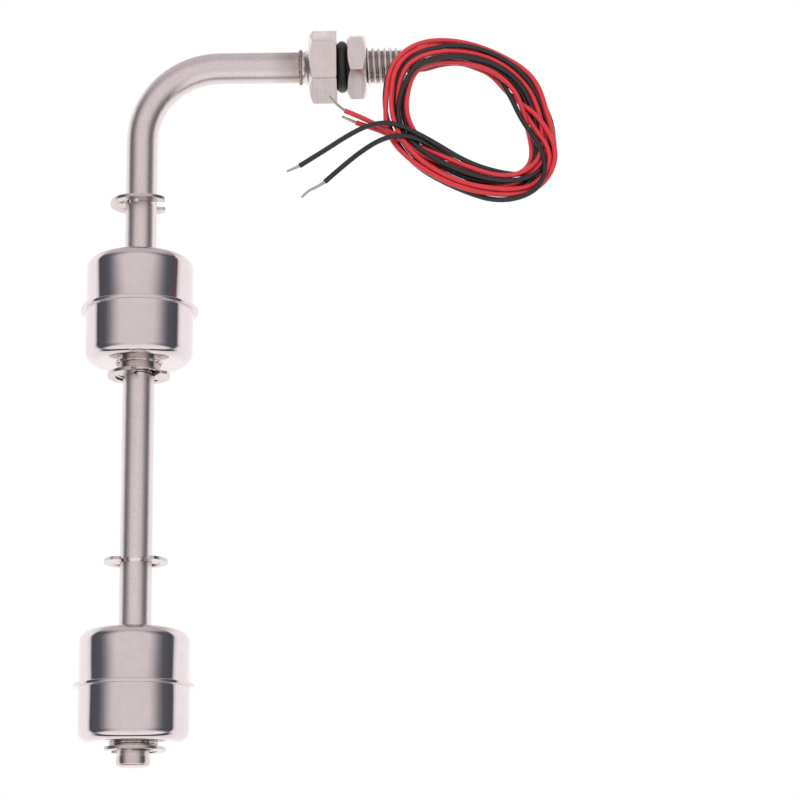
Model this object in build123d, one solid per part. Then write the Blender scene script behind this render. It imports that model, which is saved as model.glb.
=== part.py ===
# Side-mounted float level switch with two floats on one bent stem.
#
# The threaded stub goes through a hole in the side wall of a tank and the
# lock nut draws the seal ring against it. Inside the tank the tube runs level,
# bends down, and carries two hollow floats. Each float lifts with the liquid
# between two clips, and its ring magnet closes a reed switch in the tube.
#
# Millimetres. The origin is the middle of the hexagon's seal face, on the
# thread's axis. +X points out of the tank along the thread, +Z is up along the
# stem, and -Y is the side the switch is looked at from.
from build123d import *
from math import pi
from math import tan
import os

# Stem tube
stem_diameter = 8.0
stem_wall = 0.8
stem_offset = 50.6
stem_drop = 180.8
bend_radius = 20.0

# Plug in the foot of the stem
end_plug_diameter = 8.3
end_plug_height = 2.4
end_plug_round = 1.1
end_plug_spigot = 3.0

# Hexagon fitting and its threaded stub
hex_across_flats = 17.0
hex_length = 7.2
hex_turn = 7.0
hex_stem_bevel = 1.8
hex_seal_bevel = 0.4
bevel_angle = 30.0
weld_length = 2.2
weld_height = 1.7
stem_socket_depth = 5.0
thread_diameter = 10.0
thread_pitch = 1.5
stub_length = 18.0
stub_end_bevel = 1.2
relief_diameter = 7.8
relief_length = 3.3
wire_bore = 5.5

# Seal ring, squeezed a little between the hexagon and the nut
seal_section = 2.8
seal_squeezed = 2.7

# Lock nut
nut_across_flats = 16.0
nut_thickness = 5.0
nut_bevel = 1.65
nut_turn = -4.5
nut_countersink = 0.5

# Retaining clips and their grooves: each clip's depth below the thread's axis,
# and the way its mouth points, in degrees about the stem from +X
clip_diameter = 15.8
clip_front_cut = 1.8
clip_band = 1.9
clip_thickness = 0.8
clip_mouth = 6.2
clip_tooth = 3.4
clip_lobe_back = 0.7
clip_round = 0.45
groove_depth = 0.45
groove_width = 0.9
clip_places = {
    "upper_float_top_clip": (37.0, 5.0),
    "upper_float_bottom_clip": (82.6, 300.0),
    "lower_float_top_clip": (130.3, 270.0),
    "lower_float_bottom_clip": (176.6, 175.0),
}

# Floats
float_diameter = 27.4
float_height = 27.6
float_wall = 0.45
float_shoulder = 3.0
seam_diameter = 29.8
seam_rim = 0.45
seam_rim_round = 0.2
sleeve_bore = 10.0
sleeve_wall = 0.4
sleeve_lip = 0.55
sleeve_lip_height = 0.7
sleeve_top_rim = 0.3
sleeve_weld = 0.3
upper_sleeve_tail = 2.6
lower_sleeve_tail = 1.0

# Ring magnet inside each float
magnet_height = 8.0
magnet_width = 3.1

# Reed switches, and the shrink sleeve over each
reed_glass_diameter = 2.0
reed_glass_length = 14.0
reed_glass_wall = 0.25
reed_glass_aside = 0.9
reed_lead_diameter = 0.6
reed_lead_length = 2.0
reed_lead_bend = 0.45
reed_blade_width = 1.1
reed_blade_thickness = 0.2
reed_blade_overlap = 2.0
reed_blade_opening = 0.1
shrink_diameter = 4.2
shrink_wall = 0.15
shrink_past_glass = 4.5

# Wires inside the stem, and the resin that seals them
wire_diameter = 1.3
wire_spacing = 1.6
upper_wires_aside = 1.0
lower_wires_aside = -1.7
lower_reed_aside = -0.9
wire_gather_length = 10.0
wire_jog_length = 5.0
wire_jog_above_reed = 8.0
wire_turn_radius = 7.0
potting_length = 4.0
potting_recess = 0.5

# Bared wire ends
tip_diameter = 0.7

# Loose coil that the four wires make beside the stub
coil_width = 6.2
coil_thickness = 4.2
coil_back = -6.5
coil_edge_round = 1.4

# Clearances
running_clearance = 0.05
seating_clearance = 0.02
rest_clearance = 0.05

# Sizes that follow from the ones above
stem_radius = stem_diameter / 2
stem_bore_radius = stem_radius - stem_wall
stem_x = -stem_offset
stem_foot_z = -stem_drop + end_plug_height
groove_radius = stem_radius - groove_depth
socket_radius = stem_radius + seating_clearance
socket_floor_x = -hex_length + stem_socket_depth
thread_radius = thread_diameter / 2
thread_pitch_radius = thread_radius - 3 / 16 * 3**0.5 * thread_pitch
relief_radius = relief_diameter / 2
nut_outer_x = seal_squeezed + nut_thickness
bevel_slope = tan(bevel_angle * pi / 180)
sleeve_radius = sleeve_bore / 2 + sleeve_wall
seam_height = float_height / 2
wire_radius = wire_diameter / 2
beside = wire_spacing / 2
potting_face_x = stub_length - potting_recess


def rest_height(bottom_clip, tail):
    """Height of a float's lower cup when its sleeve rests on the clip below."""
    clip_top = -clip_places[bottom_clip][0] + clip_thickness / 2
    return clip_top + rest_clearance + tail


def lift(bottom, top_clip):
    """How far a float rises before its sleeve meets the clip above."""
    clip_underside = -clip_places[top_clip][0] - clip_thickness / 2
    return clip_underside - rest_clearance - (bottom + float_height + sleeve_top_rim)


upper_float_bottom = rest_height("upper_float_bottom_clip", upper_sleeve_tail)
lower_float_bottom = rest_height("lower_float_bottom_clip", lower_sleeve_tail)
upper_float_lift = lift(upper_float_bottom, "upper_float_top_clip")
lower_float_lift = lift(lower_float_bottom, "lower_float_top_clip")

# A reed sits where its float's magnet comes to when the float is up
magnet_middle = float_wall + magnet_height / 2
upper_reed_z = upper_float_bottom + upper_float_lift + magnet_middle
lower_reed_z = lower_float_bottom + lower_float_lift + magnet_middle

along_thread = Location((0, 0, 0), (0, 90, 0))
upward = (Align.CENTER, Align.CENTER, Align.MIN)
downward = (Align.CENTER, Align.CENTER, Align.MAX)


def turned(points, rounds=()):
    """Turn a closed outline of (radius, height) points about Z. Rounds are (point number, radius)."""
    outline = make_face(Polyline(*points, close=True))
    for number, radius in rounds:
        corner = outline.vertices().sort_by_distance(Vector(*points[number], 0))[0]
        outline = fillet(corner, radius)
    return revolve(Plane.XZ * outline, Axis.Z)


def bar_along(path, diameter):
    """Round bar along a path."""
    start = Plane(origin=path @ 0, z_dir=path % 0)
    return sweep(start * Circle(diameter / 2), path=path)


def bevelled_hexagon(across_flats, length, bottom_bevel, top_bevel):
    """Hexagon bar on the XY plane, corners on the X axis, turned off at each end by its bevel's width."""
    corner = across_flats / 3**0.5
    past_corner = corner * 1.01
    bottom_face = corner - bottom_bevel
    top_face = corner - top_bevel
    bar = extrude(RegularPolygon(corner, 6), length)
    return bar & turned(
        [
            (0, 0),
            (bottom_face, 0),
            (past_corner, (past_corner - bottom_face) * bevel_slope),
            (past_corner, length - (past_corner - top_face) * bevel_slope),
            (top_face, length),
            (0, length),
        ]
    )


def make_stem_tube():
    """Bent stainless tube, open through, with a turned groove for each clip."""
    path = FilletPolyline(
        (socket_floor_x, 0, 0), (stem_x, 0, 0), (stem_x, 0, stem_foot_z), radius=bend_radius
    )
    tube = bar_along(path, stem_diameter) - bar_along(path, 2 * stem_bore_radius)
    groove = Cylinder(stem_diameter, groove_width) - Cylinder(groove_radius, groove_width)
    for depth, _ in clip_places.values():
        tube -= Location((stem_x, 0, -depth)) * groove
    return tube


def make_end_plug():
    """Plug welded into the foot of the tube, its lower edge rounded over."""
    rim = end_plug_diameter / 2
    spigot = stem_bore_radius - seating_clearance
    top = end_plug_height + end_plug_spigot
    outline = [(0, 0), (rim, 0), (rim, end_plug_height), (spigot, end_plug_height), (spigot, top), (0, top)]
    return Location((stem_x, 0, -stem_drop)) * turned(outline, [(1, end_plug_round)])


def make_weld_collar():
    """Hollow-faced collar that runs from the hexagon's end down to the tube."""
    foot = socket_radius + weld_height
    toe = (socket_radius, -hex_length - weld_length)
    heel = (foot, -hex_length)
    hollow = (socket_radius + weld_height * 0.3, -hex_length - weld_length * 0.3)
    face = make_face(
        [
            Line((0, toe[1]), toe),
            ThreePointArc(toe, hollow, heel),
            Line(heel, (0, -hex_length)),
            Line((0, -hex_length), (0, toe[1])),
        ]
    )
    return revolve(Plane.XZ * face, Axis.Z)


def make_hex_fitting():
    """Hexagon, weld collar and threaded stub, turned and milled from one bar."""
    head = bevelled_hexagon(hex_across_flats, hex_length, hex_stem_bevel, hex_seal_bevel)
    stub = turned(
        [
            (0, 0),
            (relief_radius, 0),
            (relief_radius, relief_length),
            (thread_pitch_radius, relief_length + thread_pitch_radius - relief_radius),
            (thread_pitch_radius, nut_outer_x),
            (thread_radius, nut_outer_x),
            (thread_radius, stub_length - stub_end_bevel),
            (thread_radius - stub_end_bevel, stub_length),
            (0, stub_length),
        ]
    )
    fitting = Location((0, 0, -hex_length)) * Rotation(0, 0, hex_turn) * head + make_weld_collar() + stub
    socket = Cylinder(socket_radius, stem_socket_depth + weld_length, align=downward)
    bore = Cylinder(wire_bore / 2, hex_length + stub_length, align=upward)
    fitting -= Location((0, 0, socket_floor_x)) * socket
    fitting -= Location((0, 0, socket_floor_x)) * bore
    return along_thread * fitting


def make_seal_ring():
    """Rubber ring round the relief, pressed flat where the hexagon and the nut touch it."""
    middle = relief_radius + seating_clearance + seal_section / 2
    section = Circle(seal_section / 2) & Rectangle(seal_section, seal_squeezed)
    section = Location((middle, seal_squeezed / 2)) * section
    return along_thread * revolve(Plane.XZ * section, Axis.Z)


def make_lock_nut():
    """Thin hexagon nut, bevelled on both faces and bored to the thread's pitch line."""
    bore = thread_pitch_radius + running_clearance
    mouth = bore + nut_countersink
    hole = turned(
        [
            (0, 0),
            (mouth, 0),
            (bore, nut_countersink),
            (bore, nut_thickness - nut_countersink),
            (mouth, nut_thickness),
            (0, nut_thickness),
        ]
    )
    nut = bevelled_hexagon(nut_across_flats, nut_thickness, nut_bevel, nut_bevel) - hole
    return Location((seal_squeezed, 0, 0)) * along_thread * Rotation(0, 0, nut_turn) * nut


def make_clip(depth, mouth_angle):
    """E-shaped spring clip: an open band, a tooth at its back and a lobe at each side of its mouth."""
    outer = clip_diameter / 2
    tooth = Location((0, outer / 2)) * Rectangle(clip_tooth, outer)
    lobes = Location((0, clip_lobe_back)) * Rectangle(clip_diameter, outer, align=(Align.CENTER, Align.MAX))
    pocket = Circle(outer - clip_band) - tooth - lobes
    front = Location((0, clip_front_cut - outer)) * Rectangle(
        clip_diameter, clip_diameter, align=(Align.CENTER, Align.MAX)
    )
    mouth = Rectangle(clip_mouth, outer, align=(Align.CENTER, Align.MAX))
    band = Circle(outer) - pocket - Circle(groove_radius + seating_clearance) - mouth - front
    clip = extrude(band, clip_thickness)
    clip = fillet(clip.edges().filter_by(Axis.Z), clip_round)
    return Location((stem_x, 0, -depth - clip_thickness / 2), (0, 0, mouth_angle - 270)) * clip


def make_float_cup():
    """Drawn cup with a rounded shoulder, a hole for the sleeve and a rim where the two cups are joined."""
    outer = float_diameter / 2
    inner = outer - float_wall
    hole = sleeve_radius + seating_clearance
    rim = seam_diameter / 2
    outline = [
        (hole, 0),
        (outer, 0),
        (outer, seam_height - seam_rim),
        (rim, seam_height - seam_rim),
        (rim, seam_height),
        (inner, seam_height),
        (inner, float_wall),
        (hole, float_wall),
    ]
    return turned(outline, [(1, float_shoulder), (6, float_shoulder - float_wall), (3, seam_rim_round)])


def make_float_sleeve(tail):
    """Thin tube through the float, with a rolled lip at its foot, a weld bead and a flat rim on top."""
    bore = sleeve_bore / 2
    lip = sleeve_radius + sleeve_lip
    lip_top = sleeve_lip_height - tail
    outline = [
        (bore, -tail),
        (lip, -tail),
        (lip, lip_top),
        (sleeve_radius, lip_top),
        (sleeve_radius, -sleeve_weld),
        (sleeve_radius + sleeve_weld, 0),
        (sleeve_radius, 0),
        (sleeve_radius, float_height),
        (lip, float_height),
        (lip, float_height + sleeve_top_rim),
        (bore, float_height + sleeve_top_rim),
    ]
    lip_round = sleeve_lip_height * 0.45
    return turned(outline, [(1, lip_round), (2, lip_round)])


def make_magnet():
    """Ring magnet that sits on the lower cup's floor, round the sleeve."""
    inner = sleeve_radius + running_clearance
    ring = Cylinder(inner + magnet_width, magnet_height, align=upward)
    return ring - Cylinder(inner, magnet_height, align=upward)


def make_float(prefix, bottom, tail):
    """All the pieces of one float, its lower cup's underside at the height given."""
    place = Location((stem_x, 0, bottom))
    upside_down = Location((0, 0, float_height)) * Rotation(180, 0, 0)
    return {
        f"{prefix}_bottom_half": place * make_float_cup(),
        f"{prefix}_top_half": place * upside_down * make_float_cup(),
        f"{prefix}_sleeve": place * make_float_sleeve(tail),
        f"{prefix}_magnet": place * Location((0, 0, float_wall)) * make_magnet(),
    }


def make_reed_glass():
    """Glass envelope, melted shut round a lead at each end."""
    half = reed_glass_length / 2
    outer = reed_glass_diameter / 2
    inner = outer - reed_glass_wall
    lead = reed_lead_diameter / 2 + seating_clearance
    neck = (outer + lead) / 2
    upper_half = [(neck, half), (lead, half), (lead, half - outer), (inner, half - 2 * outer)]
    lower_half = [(radius, -height) for radius, height in reversed(upper_half)]
    return turned(upper_half + lower_half + [(outer, outer / 2 - half), (outer, half - outer / 2)])


def make_reed_blades():
    """Two springy blades whose flat ends overlap without touching, each on a round lead."""
    half = reed_glass_length / 2
    blade_end = half - reed_glass_diameter
    blade_length = blade_end + reed_blade_overlap / 2
    blade = Box(reed_blade_thickness, reed_blade_width, blade_length, align=downward)
    offset = (reed_blade_thickness + reed_blade_opening) / 2
    upper = Location((offset, 0, blade_end)) * blade
    upper_lead = Cylinder(reed_lead_diameter / 2, half - blade_end + reed_lead_length, align=upward)
    upper += Location((0, 0, blade_end)) * upper_lead
    across = reed_glass_aside + beside
    lower_lead = FilletPolyline(
        (0, 0, -blade_end),
        (0, 0, -half - reed_lead_length),
        (0, -across, -half - reed_lead_length),
        (0, -across, -half - reed_lead_length / 2),
        radius=reed_lead_bend,
    )
    lower = Location((-offset, 0, blade_length - blade_end)) * blade
    lower += bar_along(lower_lead, reed_lead_diameter)
    return [upper, lower]


def make_shrink_sleeve():
    """Shrink tube over the glass and the wire that runs back beside it."""
    length = reed_glass_length + 2 * shrink_past_glass
    return Cylinder(shrink_diameter / 2, length) - Cylinder(shrink_diameter / 2 - shrink_wall, length)


def make_reed(prefix, aside, height):
    """One reed switch in its shrink sleeve, pushed to one side of the stem's bore."""
    glass = Location((stem_x + aside, reed_glass_aside, height))
    sleeve = Location((stem_x + aside, 0, height))
    return {
        f"{prefix}_reed_glass": glass * make_reed_glass(),
        f"{prefix}_reed_blades": Compound(children=[glass * blade for blade in make_reed_blades()]),
        f"{prefix}_reed_shrink_sleeve": sleeve * make_shrink_sleeve(),
    }


# Where each wire leaves the stub's end, as (sideways, up)
wire_exits = {
    "red_1": (beside, -beside),
    "black_1": (-beside, -beside),
    "red_2": (beside, beside),
    "black_2": (-beside, beside),
}


def make_inner_wires():
    """The four wires inside the stem: from the stub's end, round the bend, to the two leads of each reed."""
    gather_end = potting_face_x - potting_length
    gather_start = gather_end - wire_gather_length
    to_top_lead = reed_glass_length / 2 + reed_lead_length
    to_bottom_lead = -reed_glass_length / 2 - reed_lead_length / 2
    wires = {}
    for name, reed_z, aside, end in (
        ("red_1", upper_reed_z, upper_wires_aside, to_top_lead),
        ("black_1", upper_reed_z, upper_wires_aside, to_bottom_lead),
        ("red_2", lower_reed_z, lower_wires_aside, to_top_lead),
        ("black_2", lower_reed_z, lower_wires_aside, to_bottom_lead),
    ):
        sideways, up = wire_exits[name]
        corners = [
            (stub_length, sideways, up),
            (gather_end, sideways, up),
            (gather_start, sideways, -aside),
            (stem_x + aside, sideways, -aside),
        ]
        radii = [wire_turn_radius, wire_turn_radius, bend_radius - aside]
        if reed_z == lower_reed_z:
            jog = reed_z + to_top_lead + wire_jog_above_reed
            corners.append((stem_x + aside, sideways, jog + wire_jog_length))
            aside = lower_reed_aside
            corners.append((stem_x + aside, sideways, jog))
            radii += [wire_turn_radius, wire_turn_radius]
        corners.append((stem_x + aside, sideways, reed_z + end))
        wires[f"{name}_inner_wire"] = bar_along(FilletPolyline(*corners, radius=radii), wire_diameter)
    return wires


def make_potting():
    """Black resin that seals the stub's end round the four wires."""
    plug = Cylinder(wire_bore / 2 - seating_clearance, potting_length, align=downward)
    for sideways, up in wire_exits.values():
        hole = Cylinder(wire_radius + seating_clearance, potting_length, align=downward)
        plug -= Location((-up, sideways, 0)) * hole
    return Location((potting_face_x, 0, 0)) * along_thread * plug


# Middle line of the loose coil, as (x, z) corners
coil_corners = [
    (14.6, -13.2),
    (16.4, -4.0),
    (22.2, 0.8),
    (31.4, 0.9),
    (40.6, -3.2),
    (48.0, -9.6),
    (52.0, -18.2),
    (53.6, -28.4),
    (50.2, -35.4),
    (41.8, -37.2),
    (31.4, -33.9),
    (22.0, -27.4),
    (16.0, -20.6),
]

# Route of each wire from the end of the stub into the back of the coil
lead_routes = {
    "red_1": [
        (22.6, 0.8, -0.8),
        (27.2, -0.5, 0.3),
        (32.2, -2.7, -0.3),
        (36.2, -5.15, -2.8),
        (40.1, -7.3, -5.6),
    ],
    "black_1": [
        (22.6, -0.8, -0.8),
        (27.2, -1.95, 0.7),
        (32.2, -3.85, 0.6),
        (36.6, -5.85, -1.6),
        (40.7, -7.3, -4.3),
    ],
    "red_2": [
        (22.6, 0.8, 0.8),
        (27.2, -0.45, 2.1),
        (32.2, -2.55, 1.8),
        (37.0, -4.95, -0.4),
        (41.3, -7.3, -3.1),
    ],
    "black_2": [
        (22.6, -0.8, 0.8),
        (27.2, -1.9, 2.5),
        (32.2, -3.7, 2.7),
        (37.4, -5.65, 0.8),
        (41.9, -7.3, -1.8),
    ],
}

# Route of each loose end, from inside the coil to where its insulation stops
tail_routes = {
    "black_1": [
        (18.4, -10.3, -21.2),
        (13.4, -11.2, -19.6),
        (8.2, -11.4, -20.4),
        (2.9, -11.2, -23.1),
        (-3.3, -11.0, -27.2),
        (-9.4, -10.8, -31.0),
    ],
    "black_2": [
        (19.6, -10.3, -23.4),
        (15.4, -11.2, -23.2),
        (11.2, -11.4, -24.4),
        (6.8, -11.3, -27.1),
        (1.9, -11.1, -31.0),
        (-3.0, -10.9, -35.4),
    ],
    "red_1": [
        (15.6, -9.2, -22.4),
        (11.0, -9.6, -20.2),
        (6.4, -9.5, -17.6),
        (2.2, -9.3, -15.7),
    ],
    "red_2": [
        (15.8, -8.0, -23.2),
        (12.2, -8.0, -21.2),
        (8.4, -8.1, -19.7),
        (5.0, -8.3, -18.6),
    ],
}

# Bared strands of each loose end, from where the insulation stops
tip_routes = {
    "black_1": [(-12.6, -10.7, -32.4)],
    "black_2": [(-5.0, -10.9, -36.8), (-7.2, -10.9, -37.6), (-8.8, -10.9, -39.4)],
    "red_1": [(0.2, -9.2, -14.2), (-1.8, -9.2, -11.6)],
    "red_2": [(3.0, -8.3, -17.6), (1.4, -8.3, -16.9)],
}


def corner_radii(points):
    """Largest arc for each inner corner of a route that leaves a straight stretch in every run."""
    points = [Vector(*point) for point in points]
    radii = []
    for before, corner, after in zip(points, points[1:], points[2:]):
        turn = (corner - before).get_angle(after - corner)
        shorter = min((corner - before).length, (after - corner).length)
        radii.append(0.45 * shorter / tan(turn * pi / 360))
    return radii


def make_cord(name, points, diameter):
    """Round cord along a route. Prints its arcs' radii and its volume over its section times its length."""
    radii = corner_radii(points)
    path = FilletPolyline(*points, radius=radii) if radii else Line(*points)
    cord = bar_along(path, diameter)
    filled = cord.volume / (pi * diameter**2 / 4 * path.length)
    print(name, "radii", [round(radius, 1) for radius in radii], "filled", round(filled, 4))
    return cord


def make_loose_wires():
    """Outside the stub: each wire's lead into the coil, its tail out of it and its bared end."""
    wires = {}
    for name, (sideways, up) in wire_exits.items():
        lead = [(stub_length, sideways, up)] + lead_routes[name]
        tail = tail_routes[name]
        tip = [tail[-1]] + tip_routes[name]
        wires[f"{name}_wire_lead"] = make_cord(f"{name} lead", lead, wire_diameter)
        wires[f"{name}_wire_tail"] = make_cord(f"{name} tail", tail, wire_diameter)
        wires[f"{name}_wire_tip"] = make_cord(f"{name} tip", tip, tip_diameter)
    return wires


def make_wire_coil():
    """Outer shape of the loose coil: a rounded band as wide and as deep as its turns."""
    middle_y = coil_back - coil_thickness / 2
    corners = [(x, middle_y, z) for x, z in coil_corners]
    radii = corner_radii([corners[-1]] + corners + [corners[0]])
    middle = FilletPolyline(*corners, radius=radii, close=True)
    section = Plane(origin=middle @ 0, x_dir=(0, 1, 0), z_dir=middle % 0)
    section *= RectangleRounded(coil_thickness, coil_width, coil_edge_round)
    return sweep(section, path=middle)


parts = {
    "stem_tube": make_stem_tube(),
    "end_plug": make_end_plug(),
    "hex_fitting": make_hex_fitting(),
    "seal_ring": make_seal_ring(),
    "lock_nut": make_lock_nut(),
    "potting_plug": make_potting(),
    "wire_coil": make_wire_coil(),
}
for clip_name, (clip_depth, clip_angle) in clip_places.items():
    parts[clip_name] = make_clip(clip_depth, clip_angle)
parts.update(make_float("upper_float", upper_float_bottom, upper_sleeve_tail))
parts.update(make_float("lower_float", lower_float_bottom, lower_sleeve_tail))
parts.update(make_reed("upper", upper_wires_aside, upper_reed_z))
parts.update(make_reed("lower", lower_reed_aside, lower_reed_z))
parts.update(make_inner_wires())
parts.update(make_loose_wires())

os.makedirs("parts", exist_ok=True)
for node, solid in parts.items():
    export_step(solid, f"parts/{node}.step")
print("lift of the upper and lower float", round(upper_float_lift, 3), round(lower_float_lift, 3))
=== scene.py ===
# Float level switch, seen from the front with its threaded stub to the right.
import bmesh
import bpy
from math import cos, hypot, pi, radians, sin
from mathutils import Matrix, Vector


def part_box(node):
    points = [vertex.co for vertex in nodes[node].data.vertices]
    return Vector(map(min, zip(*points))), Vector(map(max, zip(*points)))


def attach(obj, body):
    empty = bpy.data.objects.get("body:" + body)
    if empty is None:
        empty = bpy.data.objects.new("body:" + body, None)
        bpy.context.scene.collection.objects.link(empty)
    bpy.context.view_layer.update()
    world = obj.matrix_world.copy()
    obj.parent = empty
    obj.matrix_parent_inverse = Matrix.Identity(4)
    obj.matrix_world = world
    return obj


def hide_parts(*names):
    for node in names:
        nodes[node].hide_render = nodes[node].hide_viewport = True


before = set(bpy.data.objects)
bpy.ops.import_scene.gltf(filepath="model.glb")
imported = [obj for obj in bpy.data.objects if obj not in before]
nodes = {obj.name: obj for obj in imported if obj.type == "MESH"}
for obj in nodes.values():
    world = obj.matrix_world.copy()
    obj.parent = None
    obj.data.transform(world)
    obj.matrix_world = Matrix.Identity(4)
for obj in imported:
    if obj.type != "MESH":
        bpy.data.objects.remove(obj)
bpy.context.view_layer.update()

# Camera, 600 mm away and a little below the switch, so that it looks up at the
# undersides of the floats. It is rolled by less than a degree.
mm = 0.001
camera_place = (15.34 * mm, -581.92 * mm, -235.98 * mm)
camera_tilt = 14.1
camera_roll = -0.72
focal_length = 107.149
camera = bpy.data.objects.new("camera", bpy.data.cameras.new("camera"))
bpy.context.scene.collection.objects.link(camera)
camera.data.sensor_width = 36
camera.data.lens = focal_length
tilt = Matrix.Rotation(radians(90 + camera_tilt), 4, "X")
roll = Matrix.Rotation(radians(camera_roll), 4, "Z")
camera.matrix_world = Matrix.Translation(camera_place) @ tilt @ roll
bpy.context.scene.camera = camera

# Stem tube of drawn 8 mm stainless, bent once and dulled by blasting: a fine
# grain over faint lines along the tube, both drawn coarse enough to show. The
# clips' grooves are turned bright, and the weld's heat has left it brownish.
stem_x = -50.6 * mm
lines_across = 1.3 / mm
lines_along = 0.025 / mm
lines_level_from = -42 * mm
lines_level_to = -34 * mm
heated_from = -17.5 * mm
heated_to = -10.5 * mm
groove_reach = 3.75 * mm
grooves_below = -30 * mm


def linear(text):
    channels = [int(text[k : k + 2], 16) / 255 for k in (0, 2, 4)]
    return [c / 12.92 if c <= 0.04045 else ((c + 0.055) / 1.055) ** 2.4 for c in channels] + [1]


def add_node(tree, kind, inputs=None, **settings):
    node = tree.nodes.new(kind)
    for name, value in settings.items():
        setattr(node, name, value)
    for name, value in (inputs or {}).items():
        if isinstance(value, bpy.types.NodeSocket):
            tree.links.new(value, node.inputs[name])
        else:
            node.inputs[name].default_value = value
    return node


def new_material(name):
    material = bpy.data.materials.new(name)
    material.use_nodes = True
    material.node_tree.nodes.clear()
    return material, material.node_tree


def dress(node, material):
    nodes[node].data.materials.clear()
    nodes[node].data.materials.append(material)


blasted_steel, tree = new_material("blasted_stainless")
place = add_node(tree, "ShaderNodeTexCoord").outputs["Object"]
grain = add_node(tree, "ShaderNodeTexNoise", {"Vector": place, "Scale": 2.6 / mm, "Detail": 3})
down = add_node(
    tree, "ShaderNodeMapping", {"Vector": place, "Scale": (lines_across, lines_across, lines_along)}
)
along = add_node(
    tree, "ShaderNodeMapping", {"Vector": place, "Scale": (lines_along, lines_across, lines_across)}
)
split = add_node(tree, "ShaderNodeSeparateXYZ", {"Vector": place})
level = add_node(
    tree,
    "ShaderNodeMapRange",
    {"Value": split.outputs["X"], "From Min": lines_level_from, "From Max": lines_level_to},
)
drawn = add_node(
    tree,
    "ShaderNodeMix",
    {0: level.outputs["Result"], 4: down.outputs["Vector"], 5: along.outputs["Vector"]},
    data_type="VECTOR",
)
drawn_lines = add_node(
    tree, "ShaderNodeTexNoise", {"Vector": drawn.outputs[1], "Scale": 1, "Detail": 2}
)
patches = add_node(tree, "ShaderNodeTexNoise", {"Vector": place, "Scale": 0.16 / mm, "Detail": 2})
shade = add_node(
    tree, "ShaderNodeMapRange", {"Value": grain.outputs["Fac"], "From Min": 0.3, "From Max": 0.7}
)
surface = add_node(
    tree,
    "ShaderNodeMix",
    {0: shade.outputs["Result"], 6: linear("D6CDCD"), 7: linear("E8DFDE")},
    data_type="RGBA",
)
tint = add_node(
    tree,
    "ShaderNodeMapRange",
    {"Value": split.outputs["X"], "From Min": heated_from, "From Max": heated_to},
)
tint_broken = add_node(
    tree,
    "ShaderNodeMath",
    {0: tint.outputs["Result"], 1: patches.outputs["Fac"]},
    operation="MULTIPLY",
)
heated = add_node(
    tree,
    "ShaderNodeMix",
    {0: tint_broken.outputs["Value"], 6: surface.outputs[2], 7: linear("7A6A5C")},
    data_type="RGBA",
)
middle = add_node(tree, "ShaderNodeMapping", {"Vector": place, "Location": (-stem_x, 0, 0)})
flat_place = add_node(
    tree, "ShaderNodeVectorMath", {0: middle.outputs["Vector"], 1: (1, 1, 0)}, operation="MULTIPLY"
)
off_axis = add_node(
    tree, "ShaderNodeVectorMath", {0: flat_place.outputs["Vector"]}, operation="LENGTH"
)
in_groove = add_node(
    tree, "ShaderNodeMath", {0: off_axis.outputs["Value"], 1: groove_reach}, operation="LESS_THAN"
)
below_bend = add_node(
    tree, "ShaderNodeMath", {0: split.outputs["Z"], 1: grooves_below}, operation="LESS_THAN"
)
turned_bright = add_node(
    tree,
    "ShaderNodeMath",
    {0: in_groove.outputs["Value"], 1: below_bend.outputs["Value"]},
    operation="MULTIPLY",
)
finish = add_node(
    tree,
    "ShaderNodeMix",
    {0: turned_bright.outputs["Value"], 6: heated.outputs[2], 7: linear("F4EDEC")},
    data_type="RGBA",
)
blasted = add_node(
    tree,
    "ShaderNodeMapRange",
    {
        "Value": drawn_lines.outputs["Fac"],
        "From Min": 0.3,
        "From Max": 0.7,
        "To Min": 0.3,
        "To Max": 0.38,
    },
)
roughness = add_node(
    tree,
    "ShaderNodeMix",
    {0: turned_bright.outputs["Value"], 2: blasted.outputs["Result"], 3: 0.16},
    data_type="FLOAT",
)
grain_bump = add_node(
    tree,
    "ShaderNodeBump",
    {"Height": grain.outputs["Fac"], "Strength": 0.18, "Distance": 0.06 * mm},
)
line_bump = add_node(
    tree,
    "ShaderNodeBump",
    {
        "Height": drawn_lines.outputs["Fac"],
        "Strength": 0.12,
        "Distance": 0.06 * mm,
        "Normal": grain_bump.outputs["Normal"],
    },
)
steel = add_node(
    tree,
    "ShaderNodeBsdfPrincipled",
    {
        "Base Color": finish.outputs[2],
        "Metallic": 1,
        "Roughness": roughness.outputs[0],
        "Normal": line_bump.outputs["Normal"],
    },
)
add_node(tree, "ShaderNodeOutputMaterial", {"Surface": steel.outputs["BSDF"]})
dress("stem_tube", blasted_steel)

# End plug, a turned stainless button welded into the foot of the tube. Its end
# shows faint rings from the lathe.
turned_plug, tree = new_material("turned_stainless_plug")
place = add_node(tree, "ShaderNodeTexCoord").outputs["Object"]
middle = add_node(tree, "ShaderNodeMapping", {"Vector": place, "Location": (-stem_x, 0, 0)})
rings = add_node(
    tree,
    "ShaderNodeTexWave",
    {"Vector": middle.outputs["Vector"], "Scale": 0.7 / mm, "Distortion": 1.5, "Detail": 1},
    wave_type="RINGS",
    rings_direction="Z",
)
rings_bump = add_node(
    tree,
    "ShaderNodeBump",
    {"Height": rings.outputs["Fac"], "Strength": 0.12, "Distance": 0.04 * mm},
)
steel = add_node(
    tree,
    "ShaderNodeBsdfPrincipled",
    {
        "Base Color": linear("CFC6C4"),
        "Metallic": 1,
        "Roughness": 0.24,
        "Normal": rings_bump.outputs["Normal"],
    },
)
add_node(tree, "ShaderNodeOutputMaterial", {"Surface": steel.outputs["BSDF"]})
dress("end_plug", turned_plug)

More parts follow.
